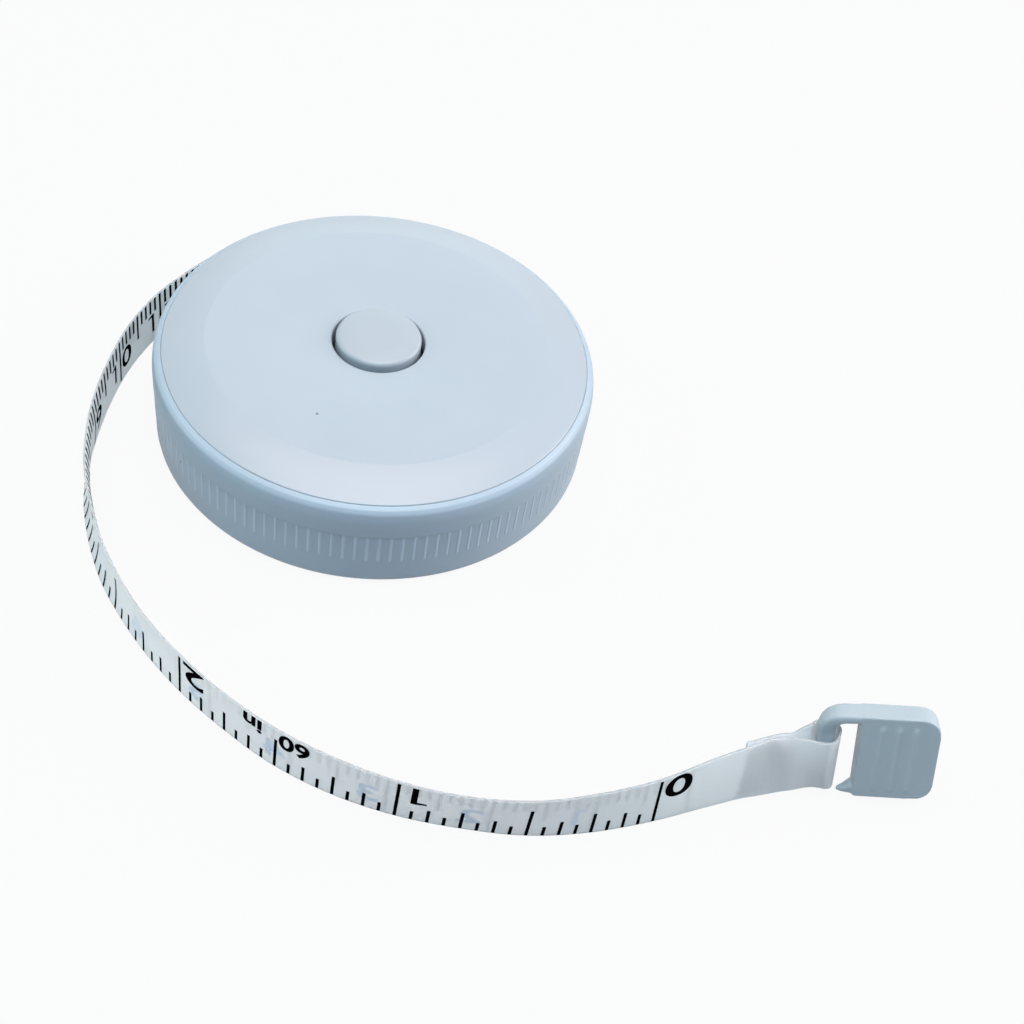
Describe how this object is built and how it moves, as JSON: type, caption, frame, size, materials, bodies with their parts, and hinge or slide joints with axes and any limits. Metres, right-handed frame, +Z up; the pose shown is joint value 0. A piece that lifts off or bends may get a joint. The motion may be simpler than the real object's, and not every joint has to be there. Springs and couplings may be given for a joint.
{
  "type": "retractable tape measure",
  "caption": "Retractable cloth tape measure in a round plastic case with a push button, a ribbed grip and an open plastic tab on the tape's end.",
  "frame": {"origin": "middle of the case's flat underside", "axes": "+Z up out of the lid and along the reel's axis, -Y towards the drawn-out tape, +X towards the tape's end tab"},
  "size_m": [0.0895, 0.0811, 0.0138],
  "materials": {
    "shell": "satin moulded",
    "reel": "moulded",
    "spring_steel": "bright",
    "tape": "coated cloth with printed scales"
  },
  "bodies": {
    "case": {"base_cup": "shell", "top_cover": "shell", "mainspring": "spring_steel", "button_spring": "spring_steel"},
    "button": {"push_button": "shell"},
    "reel": {"reel_drum": "reel", "reel_lower_flange": "reel", "tape_roll": "tape"},
    "tape": {"tape_lead_in": "tape", "tape_free_stretch": "tape"},
    "tab": {"end_tab": "shell"}
  },
  "joints": [
    {"name": "button_press", "type": "slide", "parent": "case", "child": "button", "axis": [0, 0, -1], "range_m": [0, 0.0012], "stiffness_N_per_m": 600, "springref_m": -0.002, "deforming": ["button_spring"]},
    {"name": "tape_pull", "type": "slide", "parent": "case", "child": "tape", "axis": [-0.8829, 0.4695, 0], "range_m": [0, 0.01]},
    {"name": "reel_spin", "type": "hinge", "parent": "case", "child": "reel", "pos_m": [0, 0, 0.0063], "axis": [0, 0, 1], "range_deg": [0, 27.3]},
    {"name": "tab_swing", "type": "hinge", "parent": "tape", "child": "tab", "pos_m": [0.04748, -0.04525, 0.00401], "axis": [-0.1263, 0.2928, 0.9478], "range_deg": [-100, 0]}
  ],
  "couplings": [
    {"joint": "reel_spin", "follows": "tape_pull", "rad_per_m": 47.62}
  ]
}
